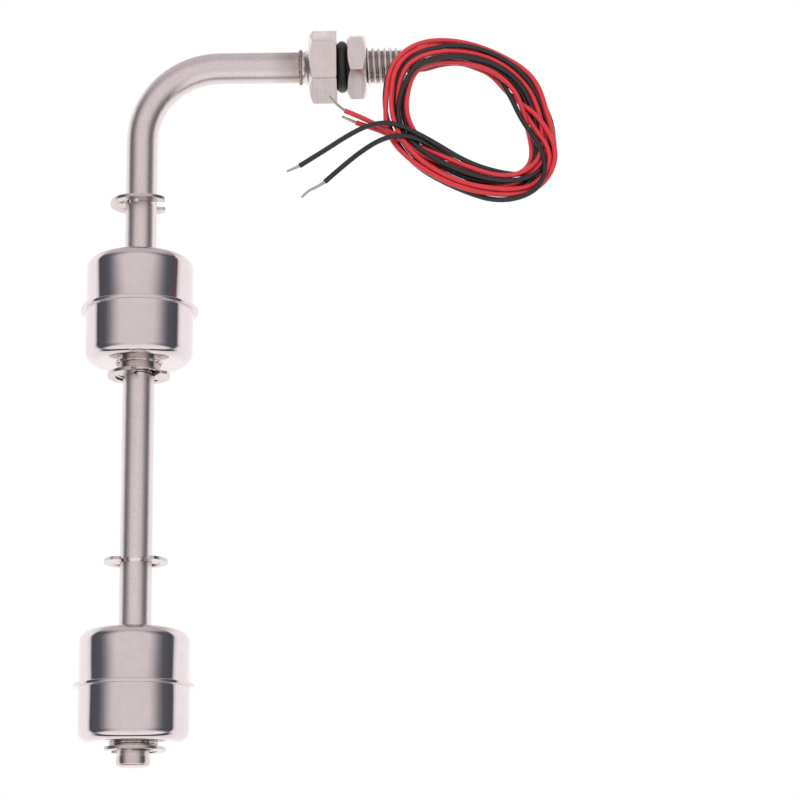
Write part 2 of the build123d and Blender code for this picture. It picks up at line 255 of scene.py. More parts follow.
# Hexagon fitting, turned and milled from one stainless bar, its long edges
# broken with a file. The flats keep straight milling lines and the round faces
# fine lathe rings. The stub ends inside the lock nut: the thread takes over.
stub_cut_x = 7.5 * mm
hexagon_corner = 9.6 * mm
shortest_edge = 3 * mm
edge_break = 0.18 * mm
machined_steel, tree = new_material("machined_stainless")
place = add_node(tree, "ShaderNodeTexCoord").outputs["Object"]
milled = add_node(
    tree, "ShaderNodeMapping", {"Vector": place, "Scale": (1.5 / mm, 0.06 / mm, 0.06 / mm)}
)
milling = add_node(
    tree, "ShaderNodeTexNoise", {"Vector": milled.outputs["Vector"], "Scale": 1, "Detail": 3}
)
cloud = add_node(tree, "ShaderNodeTexNoise", {"Vector": place, "Scale": 0.24 / mm, "Detail": 3})
surface = add_node(
    tree,
    "ShaderNodeMix",
    {0: cloud.outputs["Fac"], 6: linear("CFC6C5"), 7: linear("E6DEDD")},
    data_type="RGBA",
)
roughness = add_node(
    tree,
    "ShaderNodeMapRange",
    {
        "Value": milling.outputs["Fac"],
        "From Min": 0.3,
        "From Max": 0.7,
        "To Min": 0.2,
        "To Max": 0.32,
    },
)
milling_bump = add_node(
    tree,
    "ShaderNodeBump",
    {"Height": milling.outputs["Fac"], "Strength": 0.25, "Distance": 0.05 * mm},
)
steel = add_node(
    tree,
    "ShaderNodeBsdfPrincipled",
    {
        "Base Color": surface.outputs[2],
        "Metallic": 1,
        "Roughness": roughness.outputs["Result"],
        "Normal": milling_bump.outputs["Normal"],
    },
)
add_node(tree, "ShaderNodeOutputMaterial", {"Surface": steel.outputs["BSDF"]})


def new_piece(name, bm, material, body, sharp_from):
    mesh = bpy.data.meshes.new(name)
    for face in bm.faces:
        face.smooth = True
    bm.to_mesh(mesh)
    bm.free()
    if "custom_normal" in mesh.attributes:
        mesh.attributes.remove(mesh.attributes["custom_normal"])
    mesh.set_sharp_from_angle(angle=radians(sharp_from))
    mesh.materials.append(material)
    piece = bpy.data.objects.new(name, mesh)
    bpy.context.scene.collection.objects.link(piece)
    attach(piece, body)
    return piece


bm = bmesh.new()
bm.from_mesh(nodes["hex_fitting"].data)
bmesh.ops.remove_doubles(bm, verts=bm.verts, dist=0.001 * mm)
bmesh.ops.bisect_plane(
    bm,
    geom=bm.verts[:] + bm.edges[:] + bm.faces[:],
    plane_co=(stub_cut_x, 0, 0),
    plane_no=(1, 0, 0),
    clear_outer=True,
)
bmesh.ops.dissolve_limit(bm, angle_limit=radians(0.5), verts=bm.verts, edges=bm.edges)
long_edges = []
for edge in bm.edges:
    start, end = [vert.co for vert in edge.verts]
    on_corner = min(hypot(start.y, start.z), hypot(end.y, end.z)) > hexagon_corner
    between_flats = edge.is_manifold and abs(edge.calc_face_angle() - pi / 3) < radians(5)
    if on_corner and between_flats and abs(start.x - end.x) > shortest_edge:
        long_edges.append(edge)
bmesh.ops.bevel(
    bm,
    geom=long_edges,
    offset=edge_break,
    segments=2,
    profile=0.5,
    affect="EDGES",
    material=-1,
)
hexagon = new_piece("hexagon", bm, machined_steel, "switch", sharp_from=20)

# Screw thread of the stub, M10 with a pitch of 1.5 mm, cut on a lathe: slightly
# rounded crests and a bevelled end. Its colour darkens towards the roots as painted
# shade and lightens on the crests as painted highlight. It starts inside the lock nut.
pitch = 1.5 * mm
crest_radius = 5.0 * mm
root_radius = 4.12 * mm
wire_bore_radius = 2.75 * mm
thread_start = 4.0 * mm
stub_end = 18.0 * mm
end_bevel = 1.2 * mm
root_round = 0.05 * mm
crest_round = 0.1 * mm
crest_top = 0.02 * mm
painted_light_from = 4.1 * mm
painted_light_to = 4.8 * mm
turns = 11
turn_steps = 72
threaded_steel, tree = new_material("threaded_stainless")
place = add_node(tree, "ShaderNodeTexCoord").outputs["Object"]
flat_place = add_node(tree, "ShaderNodeVectorMath", {0: place, 1: (0, 1, 1)}, operation="MULTIPLY")
depth = add_node(
    tree, "ShaderNodeVectorMath", {0: flat_place.outputs["Vector"]}, operation="LENGTH"
)
# Painted shade and highlight: the colour runs from dark at the root radius to bright at the crest
# radius.
painted_root_shade_crest_light = add_node(
    tree,
    "ShaderNodeMapRange",
    {"Value": depth.outputs["Value"], "From Min": painted_light_from, "From Max": painted_light_to},
)
surface = add_node(
    tree,
    "ShaderNodeMix",
    {0: painted_root_shade_crest_light.outputs["Result"], 6: linear("8C8580"), 7: linear("EAE2E0")},
    data_type="RGBA",
)
dust = add_node(tree, "ShaderNodeTexNoise", {"Vector": place, "Scale": 1.1 / mm, "Detail": 2})
dust_bump = add_node(
    tree, "ShaderNodeBump", {"Height": dust.outputs["Fac"], "Strength": 0.2, "Distance": 0.04 * mm}
)
steel = add_node(
    tree,
    "ShaderNodeBsdfPrincipled",
    {
        "Base Color": surface.outputs[2],
        "Metallic": 1,
        "Roughness": 0.26,
        "Normal": dust_bump.outputs["Normal"],
    },
)
add_node(tree, "ShaderNodeOutputMaterial", {"Surface": steel.outputs["BSDF"]})

bm = bmesh.new()
flank = [
    (0, root_radius),
    (0.08, root_radius),
    (0.14, root_radius + root_round),
    (0.36, crest_radius - crest_round),
    (0.42, crest_radius - crest_top),
    (0.5, crest_radius),
    (0.58, crest_radius - crest_top),
    (0.64, crest_radius - crest_round),
    (0.86, root_radius + root_round),
    (0.92, root_radius),
    (1, root_radius),
]
first_turn = thread_start - pitch
verts = [bm.verts.new((first_turn + share * pitch, 0, radius)) for share, radius in flank]
edges = [bm.edges.new(pair) for pair in zip(verts, verts[1:])]
bmesh.ops.spin(
    bm,
    geom=verts + edges,
    cent=(0, 0, 0),
    axis=(1, 0, 0),
    dvec=(pitch / turn_steps, 0, 0),
    angle=2 * pi * turns,
    steps=turns * turn_steps,
)
bmesh.ops.remove_doubles(bm, verts=bm.verts, dist=0.01 * mm)
for point, outside in (((thread_start, 0, 0), False), ((stub_end, 0, 0), True)):
    bmesh.ops.bisect_plane(
        bm,
        geom=bm.verts[:] + bm.edges[:] + bm.faces[:],
        plane_co=point,
        plane_no=(1, 0, 0),
        clear_outer=outside,
        clear_inner=not outside,
    )
for vert in bm.verts:
    radius = hypot(vert.co.y, vert.co.z)
    allowed = crest_radius - max(0, vert.co.x - (stub_end - end_bevel))
    if radius > allowed:
        vert.co.y *= allowed / radius
        vert.co.z *= allowed / radius
rims = [edge for edge in bm.edges if edge.is_boundary]
inward = bmesh.ops.extrude_edge_only(bm, edges=rims)["geom"]
for vert in [part for part in inward if isinstance(part, bmesh.types.BMVert)]:
    radius = hypot(vert.co.y, vert.co.z)
    vert.co.y *= wire_bore_radius / radius
    vert.co.z *= wire_bore_radius / radius
bmesh.ops.bridge_loops(bm, edges=[edge for edge in bm.edges if edge.is_boundary])
bmesh.ops.recalc_face_normals(bm, faces=bm.faces)
new_piece("screw_thread", bm, threaded_steel, "switch", sharp_from=40)
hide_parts("hex_fitting")

# Weld that joins the stem to the hexagon's collar, laid by hand round the tube
# without filler: a low rippled bead, browned by the heat.
bead_radius = 0.42 * mm
bead_path_radius = 4.15 * mm
bead_x = -9.45 * mm
weld_steel, tree = new_material("tinted_weld")
place = add_node(tree, "ShaderNodeTexCoord").outputs["Object"]
scale_marks = add_node(
    tree, "ShaderNodeTexNoise", {"Vector": place, "Scale": 0.9 / mm, "Detail": 3}
)
surface = add_node(
    tree,
    "ShaderNodeMix",
    {0: scale_marks.outputs["Fac"], 6: linear("6E6259"), 7: linear("C9BCB2")},
    data_type="RGBA",
)
weld_bump = add_node(
    tree,
    "ShaderNodeBump",
    {"Height": scale_marks.outputs["Fac"], "Strength": 0.5, "Distance": 0.1 * mm},
)
steel = add_node(
    tree,
    "ShaderNodeBsdfPrincipled",
    {
        "Base Color": surface.outputs[2],
        "Metallic": 1,
        "Roughness": 0.3,
        "Normal": weld_bump.outputs["Normal"],
    },
)
add_node(tree, "ShaderNodeOutputMaterial", {"Surface": steel.outputs["BSDF"]})


def new_bead(centre, axis_turn, path_radius, radius, ripples, lift):
    bm = bmesh.new()
    ring = bmesh.ops.create_circle(bm, segments=12, radius=radius)["verts"]
    bmesh.ops.rotate(bm, verts=ring, matrix=Matrix.Rotation(pi / 2, 3, "X"))
    bmesh.ops.translate(bm, verts=ring, vec=(path_radius, 0, 0))
    bmesh.ops.spin(
        bm,
        geom=bm.verts[:] + bm.edges[:],
        axis=(0, 0, 1),
        angle=2 * pi,
        steps=ripples * 8,
        use_merge=True,
    )
    for vert in bm.verts:
        phase = vert.co.xy.angle_signed(Vector((1, 0)), 0) * ripples
        uneven = 0.4 * lift * sin(phase * 0.37)
        swell = 1 + lift * cos(phase) + uneven
        spoke = Vector((vert.co.x, vert.co.y, 0)).normalized() * path_radius
        vert.co = spoke + (vert.co - spoke) * swell
    bmesh.ops.transform(bm, matrix=Matrix.Translation(centre) @ axis_turn, verts=bm.verts)
    bmesh.ops.recalc_face_normals(bm, faces=bm.faces)
    return bm


round_the_tube = Matrix.Rotation(pi / 2, 4, "Y")
bm = new_bead((bead_x, 0, 0), round_the_tube, bead_path_radius, bead_radius, ripples=22, lift=0.16)
new_piece("stem_weld", bm, weld_steel, "switch", sharp_from=60)

# Seal ring of moulded black rubber, round in section. It is smooth and slightly
# shiny, with a little dust on it.
moulded_rubber, tree = new_material("moulded_nitrile_rubber")
place = add_node(tree, "ShaderNodeTexCoord").outputs["Object"]
bloom = add_node(tree, "ShaderNodeTexNoise", {"Vector": place, "Scale": 0.5 / mm, "Detail": 4})
surface = add_node(
    tree,
    "ShaderNodeMix",
    {0: bloom.outputs["Fac"], 6: linear("0D0D0E"), 7: linear("232223")},
    data_type="RGBA",
)
roughness = add_node(
    tree, "ShaderNodeMapRange", {"Value": bloom.outputs["Fac"], "To Min": 0.3, "To Max": 0.5}
)
rubber = add_node(
    tree,
    "ShaderNodeBsdfPrincipled",
    {"Base Color": surface.outputs[2], "Roughness": roughness.outputs["Result"], "IOR": 1.52},
)
add_node(tree, "ShaderNodeOutputMaterial", {"Surface": rubber.outputs["BSDF"]})
dress("seal_ring", moulded_rubber)

# Lock nut, a thin stainless hexagon nut, run up against the seal ring. It is
# of the same steel as the fitting and milled the same way.
dress("lock_nut", machined_steel)

# Four E-shaped clips stamped from spring steel sheet. Their flat faces are
# rolled bright and their cut edges a little rough.
stamped_steel, tree = new_material("stamped_spring_steel")
place = add_node(tree, "ShaderNodeTexCoord").outputs["Object"]
rolled = add_node(
    tree, "ShaderNodeMapping", {"Vector": place, "Scale": (0.7 / mm, 0.12 / mm, 1.5 / mm)}
)
rolling = add_node(
    tree, "ShaderNodeTexNoise", {"Vector": rolled.outputs["Vector"], "Scale": 1, "Detail": 3}
)
surface = add_node(
    tree,
    "ShaderNodeMix",
    {0: rolling.outputs["Fac"], 6: linear("B4ABA7"), 7: linear("DCD4D1")},
    data_type="RGBA",
)
rolling_bump = add_node(
    tree,
    "ShaderNodeBump",
    {"Height": rolling.outputs["Fac"], "Strength": 0.3, "Distance": 0.06 * mm},
)
steel = add_node(
    tree,
    "ShaderNodeBsdfPrincipled",
    {
        "Base Color": surface.outputs[2],
        "Metallic": 1,
        "Roughness": 0.24,
        "Normal": rolling_bump.outputs["Normal"],
    },
)
add_node(tree, "ShaderNodeOutputMaterial", {"Surface": steel.outputs["BSDF"]})
for side in ("upper_float", "lower_float"):
    dress(f"{side}_top_clip", stamped_steel)
    dress(f"{side}_bottom_clip", stamped_steel)

# Two floats, each drawn as two cups from thin stainless sheet, joined at a seam
# rim and mirror polished on a wheel. The polish leaves faint upright lines and
# the thin wall is not quite true, which makes its reflections waver.
float_radius = 13.7 * mm
float_height = 27.6 * mm
float_wall = 0.45 * mm
shoulder = 3.0 * mm
seam_radius = 14.9 * mm
seam_rim = 0.45 * mm
seam_round = 0.2 * mm
seam_root = 0.12 * mm
sleeve_hole = 5.42 * mm
round_steps = 256
polished_steel, tree = new_material("polished_stainless_sheet")
place = add_node(tree, "ShaderNodeTexCoord").outputs["Object"]
middle = add_node(tree, "ShaderNodeMapping", {"Vector": place, "Location": (-stem_x, 0, 0)})
upright = add_node(
    tree,
    "ShaderNodeMapping",
    {"Vector": middle.outputs["Vector"], "Scale": (1.1 / mm, 1.1 / mm, 0.022 / mm)},
)
wheel_lines = add_node(
    tree, "ShaderNodeTexNoise", {"Vector": upright.outputs["Vector"], "Scale": 1, "Detail": 2}
)
waver = add_node(tree, "ShaderNodeTexNoise", {"Vector": place, "Scale": 0.09 / mm, "Detail": 1})
haze = add_node(tree, "ShaderNodeTexNoise", {"Vector": place, "Scale": 0.42 / mm, "Detail": 4})
surface = add_node(
    tree,
    "ShaderNodeMix",
    {0: haze.outputs["Fac"], 6: linear("D2C9CA"), 7: linear("DED6D7")},
    data_type="RGBA",
)
roughness = add_node(
    tree,
    "ShaderNodeMapRange",
    {
        "Value": wheel_lines.outputs["Fac"],
        "From Min": 0.3,
        "From Max": 0.7,
        "To Min": 0.06,
        "To Max": 0.13,
    },
)
waver_bump = add_node(
    tree, "ShaderNodeBump", {"Height": waver.outputs["Fac"], "Strength": 0.3, "Distance": 0.2 * mm}
)
wheel_bump = add_node(
    tree,
    "ShaderNodeBump",
    {
        "Height": wheel_lines.outputs["Fac"],
        "Strength": 0.05,
        "Distance": 0.05 * mm,
        "Normal": waver_bump.outputs["Normal"],
    },
)
steel = add_node(
    tree,
    "ShaderNodeBsdfPrincipled",
    {
        "Base Color": surface.outputs[2],
        "Metallic": 1,
        "Roughness": roughness.outputs["Result"],
        "Normal": wheel_bump.outputs["Normal"],
    },
)
add_node(tree, "ShaderNodeOutputMaterial", {"Surface": steel.outputs["BSDF"]})


def ring_edges(bm, radius, height):
    found = []
    close = 0.01 * mm
    for edge in bm.edges:
        ends = [(hypot(vert.co.x, vert.co.y), vert.co.z) for vert in edge.verts]
        if all(abs(r - radius) < close and abs(z - height) < close for r, z in ends):
            found.append(edge)
    return found


def new_cup():
    bm = bmesh.new()
    seam = float_height / 2
    inner = float_radius - float_wall
    outline = [
        (sleeve_hole, 0),
        (float_radius, 0),
        (float_radius, seam - seam_rim),
        (seam_radius, seam - seam_rim),
        (seam_radius, seam),
        (inner, seam),
        (inner, float_wall),
        (sleeve_hole, float_wall),
    ]
    verts = [bm.verts.new((radius, 0, height)) for radius, height in outline]
    edges = [bm.edges.new(pair) for pair in zip(verts, verts[1:] + verts[:1])]
    bmesh.ops.spin(
        bm, geom=verts + edges, axis=(0, 0, 1), angle=2 * pi, steps=round_steps, use_merge=True
    )
    for radius, height, size, segments in (
        (float_radius, 0, shoulder, 12),
        (inner, float_wall, shoulder - float_wall, 4),
        (seam_radius, seam - seam_rim, seam_round, 4),
        (float_radius, seam - seam_rim, seam_root, 3),
    ):
        bmesh.ops.bevel(
            bm,
            geom=ring_edges(bm, radius, height),
            offset=size,
            segments=segments,
            profile=0.5,
            affect="EDGES",
            material=-1,
        )
    return bm


for side in ("upper_float", "lower_float"):
    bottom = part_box(f"{side}_bottom_half")[0].z
    for half in ("bottom", "top"):
        bm = new_cup()
        if half == "top":
            bmesh.ops.rotate(bm, verts=bm.verts, matrix=Matrix.Rotation(pi, 3, "X"))
            bmesh.ops.translate(bm, verts=bm.verts, vec=(0, 0, float_height))
        bmesh.ops.translate(bm, verts=bm.verts, vec=(stem_x, 0, bottom))
        bmesh.ops.recalc_face_normals(bm, faces=bm.faces)
        cup = new_piece(
            f"{side}_{half}_cup", bm, polished_steel, side, sharp_from=50
        )
        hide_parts(f"{side}_{half}_half")

# Sleeve through each float, thin stainless tube with a rolled lip, welded to
# both cups. It is left as drawn, with faint upright streaks, and the weld at
# its foot is a small rippled bead.
sleeve_bead_path = 5.6 * mm
sleeve_bead_radius = 0.35 * mm
sleeve_bead_sunk = 0.05 * mm
drawn_steel, tree = new_material("drawn_stainless_sleeve")
place = add_node(tree, "ShaderNodeTexCoord").outputs["Object"]
upright = add_node(
    tree, "ShaderNodeMapping", {"Vector": place, "Scale": (0.9 / mm, 0.9 / mm, 0.06 / mm)}
)
streaks = add_node(
    tree, "ShaderNodeTexNoise", {"Vector": upright.outputs["Vector"], "Scale": 1, "Detail": 3}
)
surface = add_node(
    tree,
    "ShaderNodeMix",
    {0: streaks.outputs["Fac"], 6: linear("B9B0AC"), 7: linear("DCD4D1")},
    data_type="RGBA",
)
streak_bump = add_node(
    tree,
    "ShaderNodeBump",
    {"Height": streaks.outputs["Fac"], "Strength": 0.2, "Distance": 0.05 * mm},
)
steel = add_node(
    tree,
    "ShaderNodeBsdfPrincipled",
    {
        "Base Color": surface.outputs[2],
        "Metallic": 1,
        "Roughness": 0.2,
        "Normal": streak_bump.outputs["Normal"],
    },
)
add_node(tree, "ShaderNodeOutputMaterial", {"Surface": steel.outputs["BSDF"]})
for side in ("upper_float", "lower_float"):
    dress(f"{side}_sleeve", drawn_steel)
    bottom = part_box(f"{side}_bottom_half")[0].z
    centre = (stem_x, 0, bottom - sleeve_bead_sunk)
    bm = new_bead(
        centre, Matrix.Identity(4), sleeve_bead_path, sleeve_bead_radius, ripples=16, lift=0.2
    )
    new_piece(f"{side}_sleeve_weld", bm, drawn_steel, side, sharp_from=60)

# Ring magnet inside each float, on the lower cup's floor round the sleeve. It
# is sintered ferrite: dark, matt and finely pitted.
sintered_ferrite, tree = new_material("sintered_ferrite")
place = add_node(tree, "ShaderNodeTexCoord").outputs["Object"]
pits = add_node(tree, "ShaderNodeTexNoise", {"Vector": place, "Scale": 1.5 / mm, "Detail": 4})
surface = add_node(
    tree,
    "ShaderNodeMix",
    {0: pits.outputs["Fac"], 6: linear("29292B"), 7: linear("434345")},
    data_type="RGBA",
)
pit_bump = add_node(
    tree, "ShaderNodeBump", {"Height": pits.outputs["Fac"], "Strength": 0.4, "Distance": 0.08 * mm}
)
ferrite = add_node(
    tree,
    "ShaderNodeBsdfPrincipled",
    {"Base Color": surface.outputs[2], "Roughness": 0.6, "Normal": pit_bump.outputs["Normal"]},
)
add_node(tree, "ShaderNodeOutputMaterial", {"Surface": ferrite.outputs["BSDF"]})
dress("upper_float_magnet", sintered_ferrite)
dress("lower_float_magnet", sintered_ferrite)

# Two reed switches in the stem. Each has a clear glass envelope, tinned blades
# and leads, and a sleeve of black shrink tube.
tinned_copper, tree = new_material("tinned_copper")
place = add_node(tree, "ShaderNodeTexCoord").outputs["Object"]
solder = add_node(tree, "ShaderNodeTexNoise", {"Vector": place, "Scale": 1.4 / mm, "Detail": 3})
surface = add_node(
    tree,
    "ShaderNodeMix",
    {0: solder.outputs["Fac"], 6: linear("B5AEA5"), 7: linear("E5DED5")},
    data_type="RGBA",
)
solder_bump = add_node(
    tree,
    "ShaderNodeBump",
    {"Height": solder.outputs["Fac"], "Strength": 0.3, "Distance": 0.05 * mm},
)
tin = add_node(
    tree,
    "ShaderNodeBsdfPrincipled",
    {
        "Base Color": surface.outputs[2],
        "Metallic": 1,
        "Roughness": 0.32,
        "Normal": solder_bump.outputs["Normal"],
    },
)
add_node(tree, "ShaderNodeOutputMaterial", {"Surface": tin.outputs["BSDF"]})

drawn_glass, tree = new_material("soft_glass_tube")
place = add_node(tree, "ShaderNodeTexCoord").outputs["Object"]
cords_in_glass = add_node(
    tree, "ShaderNodeTexNoise", {"Vector": place, "Scale": 0.3 / mm, "Detail": 1}
)
surface = add_node(
    tree,
    "ShaderNodeMix",
    {0: cords_in_glass.outputs["Fac"], 6: linear("D8EEDF"), 7: linear("EAF6EE")},
    data_type="RGBA",
)
glass = add_node(
    tree,
    "ShaderNodeBsdfPrincipled",
    {"Base Color": surface.outputs[2], "Roughness": 0.02, "IOR": 1.5, "Transmission Weight": 1},
)
add_node(tree, "ShaderNodeOutputMaterial", {"Surface": glass.outputs["BSDF"]})

shrunk_plastic, tree = new_material("shrunk_polyolefin")
place = add_node(tree, "ShaderNodeTexCoord").outputs["Object"]
crinkle = add_node(tree, "ShaderNodeTexNoise", {"Vector": place, "Scale": 0.7 / mm, "Detail": 2})
surface = add_node(
    tree,
    "ShaderNodeMix",
    {0: crinkle.outputs["Fac"], 6: linear("161617"), 7: linear("262628")},
    data_type="RGBA",
)
crinkle_bump = add_node(
    tree,
    "ShaderNodeBump",
    {"Height": crinkle.outputs["Fac"], "Strength": 0.2, "Distance": 0.1 * mm},
)
plastic = add_node(
    tree,
    "ShaderNodeBsdfPrincipled",
    {"Base Color": surface.outputs[2], "Roughness": 0.45, "Normal": crinkle_bump.outputs["Normal"]},
)
add_node(tree, "ShaderNodeOutputMaterial", {"Surface": plastic.outputs["BSDF"]})
for reed in ("upper_reed", "lower_reed"):
    dress(f"{reed}_glass", drawn_glass)
    dress(f"{reed}_blades", tinned_copper)
    dress(f"{reed}_shrink_sleeve", shrunk_plastic)

# Four wires, two red and two black, of soft vinyl over tinned strands. Inside
# the stem they run from the reeds to the stub's end. The vinyl is semi-gloss,
# and the black is a little bluish.
vinyl = {}
for colour, dark, light in (("red", "C82832", "DC3B43"), ("black", "17161A", "242327")):
    vinyl[colour], tree = new_material(f"{colour}_vinyl")
    place = add_node(tree, "ShaderNodeTexCoord").outputs["Object"]
    mottle = add_node(
        tree, "ShaderNodeTexNoise", {"Vector": place, "Scale": 0.35 / mm, "Detail": 3}
    )
    surface = add_node(
        tree,
        "ShaderNodeMix",
        {0: mottle.outputs["Fac"], 6: linear(dark), 7: linear(light)},
        data_type="RGBA",
    )
    roughness = add_node(
        tree, "ShaderNodeMapRange", {"Value": mottle.outputs["Fac"], "To Min": 0.22, "To Max": 0.4}
    )
    skin_bump = add_node(
        tree,
        "ShaderNodeBump",
        {"Height": mottle.outputs["Fac"], "Strength": 0.15, "Distance": 0.08 * mm},
    )
    skin = add_node(
        tree,
        "ShaderNodeBsdfPrincipled",
        {
            "Base Color": surface.outputs[2],
            "Roughness": roughness.outputs["Result"],
            "IOR": 1.53,
            "Normal": skin_bump.outputs["Normal"],
        },
    )
    add_node(tree, "ShaderNodeOutputMaterial", {"Surface": skin.outputs["BSDF"]})
    for number in (1, 2):
        dress(f"{colour}_{number}_inner_wire", vinyl[colour])

# Resin that seals the stub's end round the four wires, cast black epoxy with a
# smooth, slightly uneven skin.
cast_resin, tree = new_material("cast_epoxy")
place = add_node(tree, "ShaderNodeTexCoord").outputs["Object"]
flow = add_node(tree, "ShaderNodeTexNoise", {"Vector": place, "Scale": 0.4 / mm, "Detail": 2})
surface = add_node(
    tree,
    "ShaderNodeMix",
    {0: flow.outputs["Fac"], 6: linear("101011"), 7: linear("1F1F20")},
    data_type="RGBA",
)
flow_bump = add_node(
    tree, "ShaderNodeBump", {"Height": flow.outputs["Fac"], "Strength": 0.4, "Distance": 0.2 * mm}
)
resin = add_node(
    tree,
    "ShaderNodeBsdfPrincipled",
    {"Base Color": surface.outputs[2], "Roughness": 0.3, "Normal": flow_bump.outputs["Normal"]},
)
add_node(tree, "ShaderNodeOutputMaterial", {"Surface": resin.outputs["BSDF"]})
dress("potting_plug", cast_resin)

# Loose wires outside the stub. Each leaves it straight, goes into the back of
# the coil, makes two and a half turns and leaves to the left. Along the coil's
# middle line each turn has a place outwards or inwards and a depth of its own.
wire_diameter = 1.3 * mm
coil_corners = [
    (14.6, -13.2),
    (16.4, -4.0),
    (22.2, 0.8),
    (31.4, 0.9),
    (40.6, -3.2),
    (48.0, -9.6),
    (52.0, -18.2),
    (53.6, -28.4),
    (50.2, -35.4),
    (41.8, -37.2),
    (31.4, -33.9),
    (22.0, -27.4),
    (16.0, -20.6),
]
first_corner = 5
lead_routes = {
    "red_1": [
        (18, 0.8, -0.8),
        (22.6, 0.8, -0.8),
        (27.2, -0.5, 0.3),
        (32.2, -2.7, -0.3),
        (36.2, -5.15, -2.8),
        (40.1, -7.3, -5.6),
    ],
    "black_1": [
        (18, -0.8, -0.8),
        (22.6, -0.8, -0.8),
        (27.2, -1.95, 0.7),
        (32.2, -3.85, 0.6),
        (36.6, -5.85, -1.6),
        (40.7, -7.3, -4.3),
    ],
    "red_2": [
        (18, 0.8, 0.8),
        (22.6, 0.8, 0.8),
        (27.2, -0.45, 2.1),
        (32.2, -2.55, 1.8),
        (37.0, -4.95, -0.4),
        (41.3, -7.3, -3.1),
    ],
    "black_2": [
        (18, -0.8, 0.8),
        (22.6, -0.8, 0.8),
        (27.2, -1.9, 2.5),
        (32.2, -3.7, 2.7),
        (37.4, -5.65, 0.8),
        (41.9, -7.3, -1.8),
    ],
}
coil_places = {
    "red_1": [
        (-4.1, -8.1), (0.0, -10.2), (3.2, -10.2), (2.5, -7.9), (2.1, -9.5), (3.3, -10.0),
        (4.0, -10.0), (3.7, -8.7), (2.1, -8.3), (2.8, -8.8), (2.8, -8.8), (2.5, -9.1),
        (3.1, -9.0), (3.9, -10.0), (2.2, -9.4), (2.7, -8.7), (1.5, -7.1), (0.3, -7.0),
        (-0.8, -7.0), (-2.0, -7.4), (-2.8, -8.6), (-3.1, -9.0), (-3.6, -9.0), (-3.8, -8.6),
        (-3.2, -8.6), (-1.9, -9.8), (-2.4, -10.2), (-3.7, -9.3), (-3.4, -7.9), (-4.0, -7.2),
        (-3.3, -8.2), (-2.4, -9.0), (0.9, -8.8),
    ],
    "black_1": [
        (-4.5, -10.2), (-4.8, -10.2), (-0.3, -10.2), (3.1, -10.2), (3.8, -8.7), (3.1, -8.3),
        (3.5, -7.0), (2.2, -7.0), (2.6, -7.0), (3.2, -7.4), (3.4, -7.6), (2.6, -7.2),
        (2.3, -8.3), (2.3, -7.6), (3.4, -7.0), (2.1, -7.0), (-0.9, -10.2), (-1.4, -10.2),
        (-0.9, -10.2), (0.2, -10.2), (0.1, -8.7), (-1.1, -9.9), (-2.9, -10.1), (-3.6, -10.0),
        (-2.0, -10.1), (-0.1, -10.2), (-0.1, -10.2), (-0.7, -8.1), (-2.4, -8.5), (-2.7, -8.2),
        (-3.9, -9.6), (-4.0, -9.8), (-3.7, -10.2),
    ],
    "red_2": [
        (-2.0, -7.0), (-3.0, -9.1), (1.8, -10.2), (1.3, -8.5), (0.8, -10.2), (1.9, -10.0),
        (2.6, -10.2), (1.1, -10.0), (0.8, -8.7), (1.5, -9.4), (1.3, -8.7), (1.1, -8.3),
        (1.0, -8.5), (0.9, -8.2), (0.6, -7.0), (0.3, -8.9), (-2.0, -9.0), (0.0, -8.8),
        (1.1, -7.3), (0.7, -7.0), (-0.5, -7.1), (-0.8, -8.6), (-0.8, -9.4), (-1.4, -9.8),
        (-0.4, -9.5), (1.1, -9.8), (1.2, -9.4), (0.6, -8.7), (-1.2, -8.9), (-3.0, -10.2),
        (-2.6, -10.2), (-2.8, -10.2), (-1.5, -8.6),
    ],
    "black_2": [
        (-0.4, -7.0), (-0.7, -7.0), (-0.8, -7.2), (-0.3, -8.6), (1.7, -7.9), (1.9, -8.9),
        (2.1, -7.0), (0.8, -7.0), (0.3, -7.5), (0.4, -8.4), (-0.2, -9.1), (1.2, -10.2),
        (2.4, -10.2), (2.3, -10.2), (2.0, -7.3), (0.8, -7.0), (-0.3, -7.0), (-1.5, -8.0),
        (0.0, -8.5), (-0.5, -7.1), (-1.9, -7.5), (-2.1, -7.6), (-2.2, -7.8), (-2.4, -8.2),
        (-1.2, -8.0), (-0.9, -9.1), (-0.7, -9.0), (-2.0, -7.3), (-2.2, -7.0), (-2.1, -7.0),
        (-2.3, -7.0), (-3.3, -7.5), (-2.9, -8.9),
    ],
}
tail_routes = {
    "red_1": [
        (15.6, -9.2, -22.4),
        (11.0, -9.6, -20.2),
        (6.4, -9.5, -17.6),
        (2.2, -9.3, -15.7),
    ],
    "black_1": [
        (18.4, -10.3, -21.2),
        (13.4, -11.2, -19.6),
        (8.2, -11.4, -20.4),
        (2.9, -11.2, -23.1),
        (-3.3, -11.0, -27.2),
        (-9.4, -10.8, -31.0),
    ],
    "red_2": [
        (15.8, -8.0, -23.2),
        (12.2, -8.0, -21.2),
        (8.4, -8.1, -19.7),
        (5.0, -8.3, -18.6),
    ],
    "black_2": [
        (19.6, -10.3, -23.4),
        (15.4, -11.2, -23.2),
        (11.2, -11.4, -24.4),
        (6.8, -11.3, -27.1),
        (1.9, -11.1, -31.0),
        (-3.0, -10.9, -35.4),
    ],
}


def new_line(name, places):
    curve = bpy.data.curves.new(name, "CURVE")
    curve.dimensions = "3D"
    spline = curve.splines.new("NURBS")
    spline.points.add(len(places) - 1)
    for point, place in zip(spline.points, places):
        point.co = (place[0] * mm, place[1] * mm, place[2] * mm, 1)
    spline.order_u = 3
    spline.use_endpoint_u = True
    curve.resolution_u = 8
    line = bpy.data.objects.new(name, curve)
    bpy.context.scene.collection.objects.link(line)
    return line


